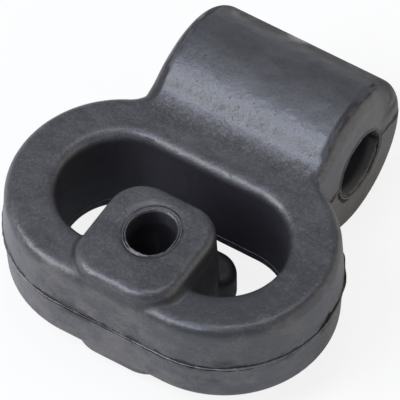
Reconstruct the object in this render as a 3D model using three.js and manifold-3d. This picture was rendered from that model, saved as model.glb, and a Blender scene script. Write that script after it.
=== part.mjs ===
import * as THREE from 'three';
import { mergeVertices } from 'three/addons/utils/BufferGeometryUtils.js';
import Module from 'manifold-3d';

// Exhaust hanger: one moulded piece of rubber, in millimetres, +Z up.
// A flat oblong ring carries a barrel along its back side and an upright boss in its front side.
// The halves of the mould meet in one level plane, half way up the ring.
// Inside this file that plane is z = 0 and the middle of the ring is x = y = 0.

// Ring
const RING_LENGTH = 69;
const RING_WIDTH = 46;
const RING_HEIGHT = 21;
const RING_WALL = 10.4;
const RING_DRAFT = 0.6;
const EDGE_RADIUS = 2.2;

// Boss in the front side of the ring
const BOSS_WIDTH = 23;
const BOSS_FRONT_SETBACK = 0.5;
const BOSS_DEPTH = 25.8;
const BOSS_HEIGHT = 26;
const BOSS_CORNER_RADIUS = 7.7;
const BOSS_DRAFT = 0.5;
const BOSS_EDGE_RADIUS = 1;
const BOSS_ROOT_RADIUS = 1.2;
const BOSS_BORE_DIAMETER = 10;
const BOSS_BORE_TO_REAR = 10.8;
const BORE_MOUTH = 0.5;

// Stop pad low on the back of the boss
const PAD_WIDTH = 23.6;
const PAD_REACH = 4.6;
const PAD_HEIGHT = 5;
const PAD_CORNER_RADIUS = 5.4;
const PAD_EDGE_RADIUS = 2;

// Barrel along the back side of the ring
const BARREL_DIAMETER = 33;
const BARREL_LENGTH = 40;
const BARREL_TO_RING_CENTRE = 35.8;
const BARREL_END_RADIUS = 3.2;
const BARREL_BORE_DIAMETER = 14;
const NECK_FILLET_RADIUS = 8;
const NECK_SIDE_RADIUS = 5;

// Flash left where the halves of the mould meet
const FLASH_REACH = 0.35;
const FLASH_THICKNESS = 0.5;

// Fineness of the curves
const EDGE_STEPS = 3;
const FILLET_STEPS = 6;
const QUARTER_STEPS_PER_ROOT_MM = 2.8;

const OVERRUN = 1;
const RUBBER_COLOUR = 0x47484d;
const RUBBER_ROUGHNESS = 0.62;

const halfHeight = RING_HEIGHT / 2;
const endRadius = RING_WIDTH / 2;
const endCentre = RING_LENGTH / 2 - endRadius;
const openingRadius = endRadius - RING_WALL;
const bossFront = -endRadius + BOSS_FRONT_SETBACK;
const bossRear = bossFront + BOSS_DEPTH;
const boreY = bossRear - BOSS_BORE_TO_REAR;
const bossHalfHeight = BOSS_HEIGHT / 2;
const barrelRadius = BARREL_DIAMETER / 2;
const barrelRear = BARREL_TO_RING_CENTRE + barrelRadius;

const wasm = await Module();
wasm.setup();

// A closed three.js geometry as a solid that can be joined and cut.
function solid(geometry) {
  geometry.deleteAttribute('normal');
  geometry.deleteAttribute('uv');
  const merged = mergeVertices(geometry, 1e-5);
  const corners = merged.index.array;
  const kept = [];
  for (let i = 0; i < corners.length; i += 3) {
    const [a, b, c] = corners.slice(i, i + 3);
    if (a !== b && b !== c && c !== a) kept.push(a, b, c);
  }
  return new wasm.Manifold(new wasm.Mesh({
    numProp: 3,
    vertProperties: new Float32Array(merged.attributes.position.array),
    triVerts: new Uint32Array(kept),
  }));
}

function joined(solids) {
  return solids.reduce((whole, piece) => whole.add(piece));
}

// Steps for a full turn at a radius: a multiple of four, and more of them on larger rounds.
function stepsRound(radius) {
  return 4 * Math.round(QUARTER_STEPS_PER_ROOT_MM * Math.sqrt(radius));
}

// Points of an arc round (x, y), between two angles in quarter turns.
function arc(x, y, radius, start, end, steps) {
  const points = [];
  for (let i = 0; i <= steps; i += 1) {
    const angle = (start + (end - start) * i / steps) * Math.PI / 2;
    points.push(new THREE.Vector2(x + radius * Math.cos(angle), y + radius * Math.sin(angle)));
  }
  return points;
}

function edgeArc(x, y, radius, start, end) {
  return arc(x, y, radius, start, end, EDGE_STEPS);
}

// A wall profile of reach and height, turned about an upright axis.
function turned(profile, x, y) {
  const reach = Math.max(...profile.map((p) => p.x));
  const lathe = new THREE.LatheGeometry(profile, stepsRound(reach));
  lathe.rotateX(Math.PI / 2);
  lathe.translate(x, y, 0);
  return solid(lathe);
}

// The same wall profile on both sides of a straight run along X.
function straight(profile, x0, x1, y0, y1) {
  const right = profile.map((p) => new THREE.Vector2(y1 + p.x, p.y));
  const left = profile.map((p) => new THREE.Vector2(y0 - p.x, p.y)).reverse();
  const section = new THREE.Shape([...right, ...left]);
  const run = new THREE.ExtrudeGeometry(section, { depth: x1 - x0, bevelEnabled: false });
  run.rotateX(Math.PI / 2);
  run.rotateZ(Math.PI / 2);
  run.translate(x0, 0, 0);
  return solid(run);
}

// An oblong solid with full round ends, made by one wall profile carried round it.
function oblong(profile) {
  return joined([
    turned(profile, -endCentre, 0),
    turned(profile, endCentre, 0),
    straight(profile, -endCentre, endCentre, 0, 0),
  ]);
}

// A block with four round corners, made by one wall profile carried round it.
function block(profile, halfX, y0, y1) {
  const corners = [[-halfX, y0], [halfX, y0], [-halfX, y1], [halfX, y1]];
  const across = straight(profile, y0, y1, -halfX, halfX).rotate([0, 0, 90]);
  return joined([
    ...corners.map(([x, y]) => turned(profile, x, y)),
    straight(profile, -halfX, halfX, y0, y1),
    across,
  ]);
}

// Wall profile that is widest at mid height and rounded at the top and the bottom edge.
function draftedWall(radius, half, draft, edge) {
  const x = radius - draft - edge;
  return [
    new THREE.Vector2(0, -half),
    ...edgeArc(x, -half + edge, edge, -1, 0),
    new THREE.Vector2(radius, 0),
    ...edgeArc(x, half - edge, edge, 0, 1),
    new THREE.Vector2(0, half),
  ];
}

function ringBody() {
  return oblong(draftedWall(endRadius, halfHeight, RING_DRAFT, EDGE_RADIUS));
}

// What is cut away inside the ring, flaring where the ring's inner edges are rounded.
function opening() {
  const mouth = openingRadius + EDGE_RADIUS;
  const start = halfHeight - EDGE_RADIUS;
  return oblong([
    new THREE.Vector2(0, -halfHeight - OVERRUN),
    new THREE.Vector2(mouth, -halfHeight - OVERRUN),
    ...edgeArc(mouth, -start, EDGE_RADIUS, -1, -2),
    ...edgeArc(mouth, start, EDGE_RADIUS, 2, 1),
    new THREE.Vector2(mouth, halfHeight + OVERRUN),
    new THREE.Vector2(0, halfHeight + OVERRUN),
  ]);
}

// A block that follows the boss's outline with any wall profile.
function overBoss(profile) {
  const halfX = BOSS_WIDTH / 2 - BOSS_CORNER_RADIUS;
  return block(profile, halfX, bossFront + BOSS_CORNER_RADIUS, bossRear - BOSS_CORNER_RADIUS);
}

function boss() {
  return overBoss(draftedWall(BOSS_CORNER_RADIUS, bossHalfHeight, BOSS_DRAFT, BOSS_EDGE_RADIUS));
}

// Small hollow fillet where the boss rises out of the flat top and bottom of the ring.
function bossRoot() {
  const wall = BOSS_CORNER_RADIUS - BOSS_DRAFT * halfHeight / bossHalfHeight;
  const foot = wall + BOSS_ROOT_RADIUS;
  const rise = halfHeight + BOSS_ROOT_RADIUS;
  const flare = overBoss([
    new THREE.Vector2(0, -rise),
    ...edgeArc(foot, -rise, BOSS_ROOT_RADIUS, -2, -3),
    ...edgeArc(foot, rise, BOSS_ROOT_RADIUS, 3, 2),
    new THREE.Vector2(0, rise),
  ]);
  const flat = oblong([
    new THREE.Vector2(0, -bossHalfHeight),
    new THREE.Vector2(endRadius - RING_DRAFT - EDGE_RADIUS, -bossHalfHeight),
    new THREE.Vector2(endRadius - RING_DRAFT - EDGE_RADIUS, bossHalfHeight),
    new THREE.Vector2(0, bossHalfHeight),
  ]);
  return flare.intersect(flat);
}

// Rounded pad low on the back of the boss, which limits how far the boss can be pushed back.
function stopPad() {
  const halfX = PAD_WIDTH / 2 - PAD_CORNER_RADIUS;
  const rear = bossRear + PAD_REACH - PAD_CORNER_RADIUS;
  const profile = draftedWall(PAD_CORNER_RADIUS, PAD_HEIGHT / 2, 0, PAD_EDGE_RADIUS);
  const pad = block(profile, halfX, bossRear - PAD_REACH, rear);
  return pad.translate([0, 0, PAD_HEIGHT / 2 - halfHeight]);
}

// Section of the barrel and its neck: round at the back, with a hollow fillet down to the ring.
function barrelSection() {
  const reach = barrelRadius + NECK_FILLET_RADIUS;
  const level = halfHeight + NECK_FILLET_RADIUS;
  const lean = Math.asin(level / reach);
  const y = BARREL_TO_RING_CENTRE - reach * Math.cos(lean);
  const inside = y - BARREL_END_RADIUS - OVERRUN;
  const turn = lean / (Math.PI / 2);
  const steps = stepsRound(barrelRadius);
  return new THREE.Shape([
    new THREE.Vector2(inside, -halfHeight),
    ...arc(y, -level, NECK_FILLET_RADIUS, 1, turn, FILLET_STEPS),
    ...arc(BARREL_TO_RING_CENTRE, 0, barrelRadius, turn - 2, 2 - turn, steps).slice(1, -1),
    ...arc(y, level, NECK_FILLET_RADIUS, -turn, -1, FILLET_STEPS),
    new THREE.Vector2(inside, halfHeight),
  ]);
}

function barrel() {
  const body = new THREE.ExtrudeGeometry(barrelSection(), {
    depth: BARREL_LENGTH - 2 * BARREL_END_RADIUS,
    bevelThickness: BARREL_END_RADIUS,
    bevelSize: BARREL_END_RADIUS,
    bevelOffset: -BARREL_END_RADIUS,
    bevelSegments: EDGE_STEPS,
  });
  body.rotateX(Math.PI / 2);
  body.rotateZ(Math.PI / 2);
  body.translate(-BARREL_LENGTH / 2 + BARREL_END_RADIUS, 0, 0);
  return solid(body);
}

// Upright hollow fillet in the corner between the end of the neck and the outside of the ring.
function neckCorner(side) {
  const x = BARREL_LENGTH / 2 + NECK_SIDE_RADIUS;
  const reach = endRadius + NECK_SIDE_RADIUS;
  const lean = Math.acos((x - endCentre) / reach);
  const y = reach * Math.sin(lean);
  const inside = endRadius / 2;
  const turn = lean / (Math.PI / 2);
  const outline = [
    new THREE.Vector2(endCentre, inside),
    new THREE.Vector2(x - NECK_SIDE_RADIUS / 2, inside),
    ...arc(x, y, NECK_SIDE_RADIUS, turn - 2, -2, FILLET_STEPS),
    new THREE.Vector2(endCentre, y),
  ];
  const placed = outline.map((p) => new THREE.Vector2(side * p.x, p.y));
  const corner = new THREE.ExtrudeGeometry(new THREE.Shape(placed), {
    depth: RING_HEIGHT - 2 * EDGE_RADIUS,
    bevelThickness: EDGE_RADIUS,
    bevelSize: EDGE_RADIUS,
    bevelOffset: -EDGE_RADIUS,
    bevelSegments: EDGE_STEPS,
  });
  corner.translate(0, 0, EDGE_RADIUS - halfHeight);
  return solid(corner);
}

// Thin fin all round the outside, in the plane where the halves of the mould meet.
function flash() {
  const half = FLASH_THICKNESS / 2;
  const sheet = (radius) => [
    new THREE.Vector2(0, -half),
    new THREE.Vector2(radius - FLASH_REACH, -half),
    new THREE.Vector2(radius + FLASH_REACH, 0),
    new THREE.Vector2(radius - FLASH_REACH, half),
    new THREE.Vector2(0, half),
  ];
  const halfX = BARREL_LENGTH / 2 - BARREL_END_RADIUS;
  const front = endRadius - RING_WALL / 2 + BARREL_END_RADIUS;
  const rear = barrelRear - BARREL_END_RADIUS;
  return oblong(sheet(endRadius)).add(block(sheet(BARREL_END_RADIUS), halfX, front, rear));
}

// Upright hole through the boss, opened a little at both mouths.
function bossBore() {
  const radius = BOSS_BORE_DIAMETER / 2;
  const mouth = radius + BORE_MOUTH;
  return turned([
    new THREE.Vector2(0, -bossHalfHeight - OVERRUN),
    new THREE.Vector2(mouth, -bossHalfHeight - OVERRUN),
    new THREE.Vector2(mouth, -bossHalfHeight),
    new THREE.Vector2(radius, -bossHalfHeight + BORE_MOUTH),
    new THREE.Vector2(radius, bossHalfHeight - BORE_MOUTH),
    new THREE.Vector2(mouth, bossHalfHeight),
    new THREE.Vector2(mouth, bossHalfHeight + OVERRUN),
    new THREE.Vector2(0, bossHalfHeight + OVERRUN),
  ], 0, boreY);
}

// Level hole through the barrel from end to end.
function barrelBore() {
  const radius = BARREL_BORE_DIAMETER / 2;
  const length = BARREL_LENGTH + 2 * OVERRUN;
  const bore = new THREE.CylinderGeometry(radius, radius, length, stepsRound(radius));
  bore.rotateZ(Math.PI / 2);
  bore.translate(0, BARREL_TO_RING_CENTRE, 0);
  return solid(bore);
}

function hangerSolid() {
  const back = joined([barrel(), neckCorner(-1), neckCorner(1)]);
  const outside = joined([ringBody(), back, flash()]).subtract(opening());
  const filled = joined([outside, bossRoot().subtract(opening()), boss(), stopPad()]);
  return filled.subtract(bossBore()).subtract(barrelBore());
}

// A finished solid as a mesh.
function hangerMesh() {
  const { vertProperties, triVerts } = hangerSolid().getMesh();
  const geometry = new THREE.BufferGeometry();
  geometry.setAttribute('position', new THREE.BufferAttribute(vertProperties, 3));
  geometry.setIndex(new THREE.BufferAttribute(triVerts, 1));
  geometry.computeVertexNormals();
  const rubber = new THREE.MeshStandardMaterial({
    color: RUBBER_COLOUR,
    roughness: RUBBER_ROUGHNESS,
    metalness: 0,
  });
  const mesh = new THREE.Mesh(geometry, rubber);
  mesh.name = 'hanger';
  return mesh;
}

// The origin is under the middle of the part, at the height of its lowest point.
const hanger = hangerMesh();
hanger.position.set(0, (endRadius - barrelRear) / 2, barrelRadius);

const model = new THREE.Group();
model.add(hanger);

export default model;
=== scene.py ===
import math

import bpy
import numpy as np
from mathutils import Euler, Matrix, Vector


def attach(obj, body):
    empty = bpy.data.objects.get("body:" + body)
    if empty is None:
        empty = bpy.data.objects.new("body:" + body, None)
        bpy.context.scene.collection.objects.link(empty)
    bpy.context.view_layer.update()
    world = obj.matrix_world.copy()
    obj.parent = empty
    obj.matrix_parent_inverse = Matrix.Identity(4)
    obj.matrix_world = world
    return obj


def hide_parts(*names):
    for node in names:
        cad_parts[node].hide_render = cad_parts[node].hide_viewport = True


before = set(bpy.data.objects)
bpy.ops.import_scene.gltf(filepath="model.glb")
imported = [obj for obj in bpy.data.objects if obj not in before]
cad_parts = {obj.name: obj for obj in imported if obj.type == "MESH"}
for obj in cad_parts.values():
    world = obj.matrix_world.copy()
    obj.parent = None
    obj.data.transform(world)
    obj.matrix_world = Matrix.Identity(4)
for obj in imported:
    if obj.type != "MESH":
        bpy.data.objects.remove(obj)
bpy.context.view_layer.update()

# Camera.
# It looks down on the front of the hanger from the right, from far off,
# so that the barrel's bore and the open side of the ring both show.
CAMERA_PLACE = (0.476736, -0.745290, 1.188889)
CAMERA_TURN_DEG = (36.99356, 0.46759, 32.15910)
CAMERA_LENS_MM = 687.714

camera_data = bpy.data.cameras.new("camera")
camera_data.lens = CAMERA_LENS_MM
camera_data.sensor_width = 36
camera_data.clip_start = 0.1
camera_data.clip_end = 10
camera = bpy.data.objects.new("camera", camera_data)
camera.location = CAMERA_PLACE
camera.rotation_euler = Euler([math.radians(a) for a in CAMERA_TURN_DEG], "XYZ")
bpy.context.scene.collection.objects.link(camera)
bpy.context.scene.camera = camera

# Hanger body.
# One moulding of black rubber: an oblong ring, a barrel along its back side and a boss in its front.
# It comes out of a two-part mould, so every edge is rounded and the walls lean towards mid height.
# Sizes are in millimetres, from the middle of the ring at the height where the mould halves meet.
MM = 0.001
RING_HALF_HEIGHT = 10.5
RING_END_RADIUS = 23.0
RING_END_X = 11.5
RING_WALL = 10.4
RING_DRAFT = 0.6
RING_EDGE = 2.2
RING_LOWER_EDGE = 1.6
OPENING_RADIUS = RING_END_RADIUS - RING_WALL
OPENING_LEAN = 0.75
OPENING_LOWER_EDGE = 0.6
BARREL_Y = 35.8
BARREL_RADIUS = 16.5
BARREL_HALF_LENGTH = 20.0
BARREL_EDGE = 3.2
BARREL_LOWER_EDGE = 2.7
NECK_EDGE = 2.2
NECK_EDGE_FADE = 8.0
BARREL_BORE = 7.0
NECK_FILLET = 8.0
NECK_CORNER = 5.0
BOSS_HALF_WIDTH = 11.7
BOSS_FRONT = -22.5
BOSS_REAR = 3.3
BOSS_HALF_HEIGHT = 13.0
BOSS_CORNER = 7.7
BOSS_DRAFT = 0.5
BOSS_EDGE = 2.0
BOSS_ROOT = 1.3
BOSS_FRONT_ROOT = 0.3
ROOT_START = 1.0
ROOT_FADE = 4.0
BOSS_BORE = 5.0
BOSS_BORE_Y = -7.5
BOSS_BORE_SHAPE = (0.97, 1.09)
BORE_MOUTH = 0.4
LIP_BACK = 0.2
DISH_RADIUS = 7.2
DISH_BACK = 0.3
DISH_FLANK = 1.0
DISH_DEPTH = 0.27
PAD_HALF_WIDTH = 11.8
PAD_FRONT = -1.3
PAD_REAR = 7.9
PAD_CORNER = 5.4
PAD_EDGE = 2.0
PAD_LOWER_EDGE = 0.8
PAD_MIDDLE = -9.2
PAD_HALF_HEIGHT = 3.7
PAD_ROOT = 0.8
HALF_STEP = 0.12
CELL = 0.5
SETTLE_PASSES = 4
SLOPE_REACH = 0.02
LEAST_SLOPE = 0.25

# The neck's fillets meet the ring's flats at the foot, and its hollow corners have their middles here.
NECK_RISE = math.sqrt((BARREL_RADIUS + NECK_FILLET) ** 2 - (RING_HALF_HEIGHT + NECK_FILLET) ** 2)
NECK_FOOT = BARREL_Y - NECK_RISE
NECK_CORNER_X = BARREL_HALF_LENGTH + NECK_CORNER
NECK_CORNER_Y = math.sqrt((RING_END_RADIUS + NECK_CORNER) ** 2 - (NECK_CORNER_X - RING_END_X) ** 2)

# The origin of the frame is under the middle of the part, at the barrel's lowest line.
TO_FRAME = np.array([0.0, (RING_END_RADIUS - BARREL_Y - BARREL_RADIUS) / 2, BARREL_RADIUS])


def rounded_edge(wall, face, radius):
    """Depth outside a wall and a face that meet in a rounded edge."""
    u = np.maximum(wall + radius, 0)
    v = np.maximum(face + radius, 0)
    return np.hypot(u, v) + np.minimum(np.maximum(wall, face) + radius, 0) - radius


def hollow_corner(a, b, radius):
    """Two bodies joined with a hollow fillet."""
    u = np.maximum(radius - a, 0)
    v = np.maximum(radius - b, 0)
    return np.maximum(radius, np.minimum(a, b)) - np.hypot(u, v)


def rounded_block(x, y, half_width, front, rear, corner):
    """Depth outside an upright block with four round corners."""
    u = np.abs(x) - half_width + corner
    v = np.abs(y - (front + rear) / 2) - (rear - front) / 2 + corner
    return np.hypot(np.maximum(u, 0), np.maximum(v, 0)) + np.minimum(np.maximum(u, v), 0) - corner


def ring_outline(x, y):
    """Depth outside the ring's outline, with the hollow corners where the neck leaves it."""
    across = np.abs(x)
    along = np.hypot(np.maximum(across - RING_END_X, 0), y)
    corner = NECK_CORNER - np.hypot(across - NECK_CORNER_X, y - NECK_CORNER_Y)
    on_ring = (NECK_CORNER_X - RING_END_X) * y - NECK_CORNER_Y * (across - RING_END_X) <= 0
    neck = np.where(y < NECK_CORNER_Y, corner, across - BARREL_HALF_LENGTH)
    return np.where(on_ring, along - RING_END_RADIUS, neck)


def barrel_profile(y, z):
    """Depth outside the barrel's section, with the hollow fillets down to the ring's flats."""
    height = np.abs(z)
    level = RING_HALF_HEIGHT + NECK_FILLET
    fillet = NECK_FILLET - np.hypot(y - NECK_FOOT, height - level)
    on_fillet = (y - NECK_FOOT) * level + (height - level) * NECK_RISE < 0
    round_side = np.hypot(y - BARREL_Y, z) - BARREL_RADIUS
    return np.where(y < NECK_FOOT, height - RING_HALF_HEIGHT, np.where(on_fillet, fillet, round_side))


def hanger_depth(x, y, z):
    """Depth outside the rubber in millimetres, below nought inside it."""
    height = np.abs(z)
    flat = height - RING_HALF_HEIGHT
    lower = np.where(z < 0, HALF_STEP, 0.0)
    lean = RING_DRAFT * height / RING_HALF_HEIGHT + lower
    along = np.hypot(np.maximum(np.abs(x) - RING_END_X, 0), y)
    ring = rounded_edge(ring_outline(x, y) + lean, flat, np.where(z > 0, RING_EDGE, RING_LOWER_EDGE))
    opening = OPENING_RADIUS - OPENING_LEAN * (RING_HALF_HEIGHT - z) / (2 * RING_HALF_HEIGHT)
    opening_edge = np.where(z > 0, RING_EDGE, OPENING_LOWER_EDGE)
    ring = np.maximum(ring, rounded_edge(opening - along, flat, opening_edge))
    ring = np.maximum(ring, y - BARREL_Y)
    edge = np.where(z > 0, BARREL_EDGE, BARREL_LOWER_EDGE)
    edge = NECK_EDGE + (edge - NECK_EDGE) * np.clip((y - RING_END_RADIUS) / NECK_EDGE_FADE, 0, 1)
    barrel = rounded_edge(barrel_profile(y, z) + lower, np.abs(x) - BARREL_HALF_LENGTH + lower, edge)
    barrel = np.maximum(barrel, RING_END_RADIUS - RING_WALL / 2 - y)
    outside = np.minimum(ring, barrel)
    boss = rounded_block(x, y, BOSS_HALF_WIDTH, BOSS_FRONT, BOSS_REAR, BOSS_CORNER)
    boss = boss + BOSS_DRAFT * height / BOSS_HALF_HEIGHT
    in_dish = np.clip((DISH_RADIUS - np.hypot(x, y - BOSS_BORE_Y - DISH_BACK)) / DISH_FLANK, 0, 1)
    dish = DISH_DEPTH * in_dish ** 2 * (3 - 2 * in_dish)
    boss = rounded_edge(boss, height + dish - BOSS_HALF_HEIGHT, BOSS_EDGE)
    grown = np.clip((y - BOSS_FRONT - ROOT_START) / ROOT_FADE, 0, 1)
    outside = hollow_corner(outside, boss, BOSS_FRONT_ROOT + (BOSS_ROOT - BOSS_FRONT_ROOT) * grown)
    pad = rounded_block(x, y, PAD_HALF_WIDTH, PAD_FRONT, PAD_REAR, PAD_CORNER)
    pad_edge = np.where(z > PAD_MIDDLE, PAD_EDGE, PAD_LOWER_EDGE)
    pad = rounded_edge(pad, np.abs(z - PAD_MIDDLE) - PAD_HALF_HEIGHT, pad_edge)
    outside = hollow_corner(outside, pad, PAD_ROOT)
    from_bore = np.hypot(x / BOSS_BORE_SHAPE[0], (y - BOSS_BORE_Y) / BOSS_BORE_SHAPE[1])
    outside = rounded_edge(outside, BOSS_BORE - from_bore, BORE_MOUTH)
    barrel_bore = BARREL_BORE - np.hypot(y - BARREL_Y, z)
    return rounded_edge(outside, barrel_bore, BORE_MOUTH)


def closed_mesh(depth_at, low, high, cell):
    """Net of quads round a depth function: a point in each cell that the surface crosses."""
    counts = np.ceil((high - low) / cell).astype(int) + 1
    axes = [low[i] + cell * np.arange(counts[i]) for i in range(3)]
    depth = depth_at(*np.meshgrid(*axes, indexing="ij"))
    inside = depth < 0
    total = np.zeros(tuple(counts - 1) + (3,))
    crossings = np.zeros(tuple(counts - 1))
    for axis in range(3):
        near = [slice(None)] * 3
        far = [slice(None)] * 3
        near[axis] = slice(0, -1)
        far[axis] = slice(1, None)
        a = depth[tuple(near)]
        b = depth[tuple(far)]
        crossed = inside[tuple(near)] != inside[tuple(far)]
        share = np.where(crossed, a / np.where(crossed, a - b, 1), 0)
        others = [i for i in range(3) if i != axis]
        for step in ((0, 0), (0, 1), (1, 0), (1, 1)):
            picked = [slice(None)] * 3
            for i, s in zip(others, step):
                picked[i] = slice(s, s + counts[i] - 1)
            here = crossed[tuple(picked)]
            crossings += here
            total[..., axis] += share[tuple(picked)] * here
            for i, s in zip(others, step):
                total[..., i] += s * here
    active = crossings > 0
    number = np.full(active.shape, -1)
    number[active] = np.arange(active.sum())
    cells = np.argwhere(active)
    points = low + cell * (cells + total[active] / crossings[active][:, None])
    quads = []
    for axis in range(3):
        others = [i for i in range(3) if i != axis]
        near = [slice(1, -1)] * 3
        far = [slice(1, -1)] * 3
        near[axis] = slice(0, -1)
        far[axis] = slice(1, None)
        starts = np.argwhere(inside[tuple(near)] != inside[tuple(far)])
        starts[:, others] += 1
        leaving = inside[tuple(starts.T)]
        ring = []
        for step in ((0, 0), (1, 0), (1, 1), (0, 1)):
            cell_at = starts.copy()
            for i, s in zip(others, step):
                cell_at[:, i] -= s
            ring.append(number[tuple(cell_at.T)])
        ring = np.stack(ring, axis=1)
        outward = leaving if axis != 1 else ~leaving
        quads.append(np.where(outward[:, None], ring[:, ::-1], ring))
    return points, np.concatenate(quads)


def settle(points, depth_at, passes):
    """Moves each point along the slope on to the surface itself."""
    reach = SLOPE_REACH
    for _ in range(passes):
        x, y, z = points.T
        here = depth_at(x, y, z)
        slope = np.stack([
            depth_at(x + reach, y, z) - depth_at(x - reach, y, z),
            depth_at(x, y + reach, z) - depth_at(x, y - reach, z),
            depth_at(x, y, z + reach) - depth_at(x, y, z - reach),
        ], axis=1) / (2 * reach)
        steep = np.maximum((slope ** 2).sum(axis=1), LEAST_SLOPE)
        move = slope * (here / steep)[:, None]
        points = points - np.clip(move, -CELL / 2, CELL / 2)
    return points


def mesh_piece(name, points, faces):
    """A smooth-shaded piece with its place in its mesh, in metres."""
    data = bpy.data.meshes.new(name)
    data.from_pydata(((points + TO_FRAME) * MM).tolist(), [], faces)
    data.polygons.foreach_set("use_smooth", [True] * len(data.polygons))
    piece = bpy.data.objects.new(name, data)
    bpy.context.scene.collection.objects.link(piece)
    return piece


margin = 3 * CELL
low = np.array([-RING_END_X - RING_END_RADIUS, -RING_END_RADIUS, -BARREL_RADIUS]) - margin
high = np.array([RING_END_X + RING_END_RADIUS, BARREL_Y + BARREL_RADIUS, BARREL_RADIUS]) + margin
net_points, net_faces = closed_mesh(hanger_depth, low, high, CELL)
body_points = settle(net_points, hanger_depth, SETTLE_PASSES)
body = mesh_piece("hanger_body", body_points, net_faces.tolist())


def feed(tree, socket, value):
    """Sets a socket to a value, or links it to what gives the value."""
    if isinstance(value, bpy.types.NodeSocket):
        tree.links.new(value, socket)
    else:
        socket.default_value = value


def add(tree, kind, sockets=(), **settings):
    """A node of a tree, with its settings and what goes into its sockets."""
    made = tree.nodes.new(kind)
    for setting, value in settings.items():
        setattr(made, setting, value)
    for socket, value in dict(sockets).items():
        feed(tree, made.inputs[socket], value)
    return made


def maths(tree, operation, *terms, clamp=False):
    """The result of a Math node on values or sockets."""
    made = add(tree, "ShaderNodeMath", enumerate(terms), operation=operation, use_clamp=clamp)
    return made.outputs[0]


def stretch(tree, value, low, high, to_low=0.0, to_high=1.0):
    """A value between two limits brought smoothly to two others."""
    sockets = {"Value": value, "From Min": low, "From Max": high, "To Min": to_low, "To Max": to_high}
    return add(tree, "ShaderNodeMapRange", sockets, interpolation_type="SMOOTHSTEP").outputs["Result"]


def effect(name, inputs, outputs):
    """An empty shader group with named inputs, each with its usual value, and named outputs."""
    group = bpy.data.node_groups.new(name, "ShaderNodeTree")
    for socket, value in inputs.items():
        kind = "NodeSocketVector" if value is None else "NodeSocketFloat"
        made = group.interface.new_socket(socket, in_out="INPUT", socket_type=kind)
        if value is not None:
            made.default_value = value
    for socket in outputs:
        group.interface.new_socket(socket, in_out="OUTPUT", socket_type="NodeSocketFloat")
    return group, group.nodes.new("NodeGroupInput").outputs, group.nodes.new("NodeGroupOutput").inputs


def vectors(tree, operation, *terms):
    """The result of a Vector Math node: a value for a length or a dot product, else a vector."""
    made = add(tree, "ShaderNodeVectorMath", enumerate(terms), operation=operation)
    return made.outputs["Value" if operation in ("LENGTH", "DOT_PRODUCT") else "Vector"]


def product(tree, *terms):
    """Several values or sockets multiplied together."""
    result = terms[0]
    for term in terms[1:]:
        result = maths(tree, "MULTIPLY", result, term)
    return result


def largest(tree, *terms):
    """The largest of several values or sockets."""
    result = terms[0]
    for term in terms[1:]:
        result = maths(tree, "MAXIMUM", result, term)
    return result


def noise(tree, place, size, detail=2.0, roughness=0.5, offset=0.0, output="Fac"):
    """Noise from 0 to 1 whose blotches are about as big as size, in the unit of the place."""
    sockets = {"Vector": place, "Scale": maths(tree, "DIVIDE", 1.0, size), "Detail": detail,
               "Roughness": roughness, "W": offset}
    return add(tree, "ShaderNodeTexNoise", sockets, noise_dimensions="4D").outputs[output]


# A noise is given here by its detail, its roughness and its offset from the others.
GRAIN_NOISE = (3.0, 0.65, 0.0)
PEEL_NOISE = (2.0, 0.45, 3.0)
PIT_NOISE = (1.0, 0.5, 7.0)
PIT_GRAINS = 1.6
PIT_BAND = (0.66, 0.78)
GRAIN_HEIGHT = 0.45
PEEL_HEIGHT = 1.6
PIT_DEPTH = 0.35


def moulded_skin():
    """Surface left by the mould: fine grain over a faint orange peel, with a few pits."""
    sizes = {"Place": None, "Grain": 0.4, "Peel": 2.6}
    group, given, result = effect("moulded skin", sizes, ["Height", "Grain", "Pits"])
    grain = noise(group, given["Place"], given["Grain"], *GRAIN_NOISE)
    peel = noise(group, given["Place"], given["Peel"], *PEEL_NOISE)
    pit_size = maths(group, "MULTIPLY", given["Grain"], PIT_GRAINS)
    pits = stretch(group, noise(group, given["Place"], pit_size, *PIT_NOISE), *PIT_BAND)
    height = maths(group, "MULTIPLY_ADD", peel, PEEL_HEIGHT, maths(group, "MULTIPLY", grain, GRAIN_HEIGHT))
    height = maths(group, "SUBTRACT", height, maths(group, "MULTIPLY", pits, PIT_DEPTH))
    feed(group, result["Height"], height)
    feed(group, result["Grain"], grain)
    feed(group, result["Pits"], pits)
    return group


PATCH_NOISE = (4.0, 0.62, 11.0)
PATCH_START = 0.78
PATCH_BY_COVER = 0.6
PATCH_SOFTNESS = 0.3
PATCH_SHARE = 0.55
SMEAR_NOISE = (4.0, 0.7, 13.0)
SMEAR_DRAWN = (0.35, 1.0, 1.0)
SMEAR_BAND = (0.35, 0.7)
SMEAR_SHARE = 0.45
SPECK_NOISE = (2.0, 0.75, 17.0)
SPECK_BAND = (0.45, 0.63)


def dust_bloom():
    """Grey film of bloom and dust in soft patches, with smears and fine specks in it."""
    sizes = {"Place": None, "Patch": 8.0, "Smear": 3.0, "Speck": 0.42, "Cover": 0.5}
    group, given, result = effect("dust bloom", sizes, ["Film", "Specks"])
    low = maths(group, "SUBTRACT", PATCH_START, maths(group, "MULTIPLY", given["Cover"], PATCH_BY_COVER))
    patch = noise(group, given["Place"], given["Patch"], *PATCH_NOISE)
    patch = stretch(group, patch, low, maths(group, "ADD", low, PATCH_SOFTNESS))
    drawn = vectors(group, "MULTIPLY", given["Place"], SMEAR_DRAWN)
    smear = stretch(group, noise(group, drawn, given["Smear"], *SMEAR_NOISE), *SMEAR_BAND)
    patch = maths(group, "MULTIPLY", patch, PATCH_SHARE)
    feed(group, result["Film"], maths(group, "MULTIPLY_ADD", smear, SMEAR_SHARE, patch, clamp=True))
    speck = noise(group, given["Place"], given["Speck"], *SPECK_NOISE)
    feed(group, result["Specks"], stretch(group, speck, *SPECK_BAND))
    return group


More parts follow.
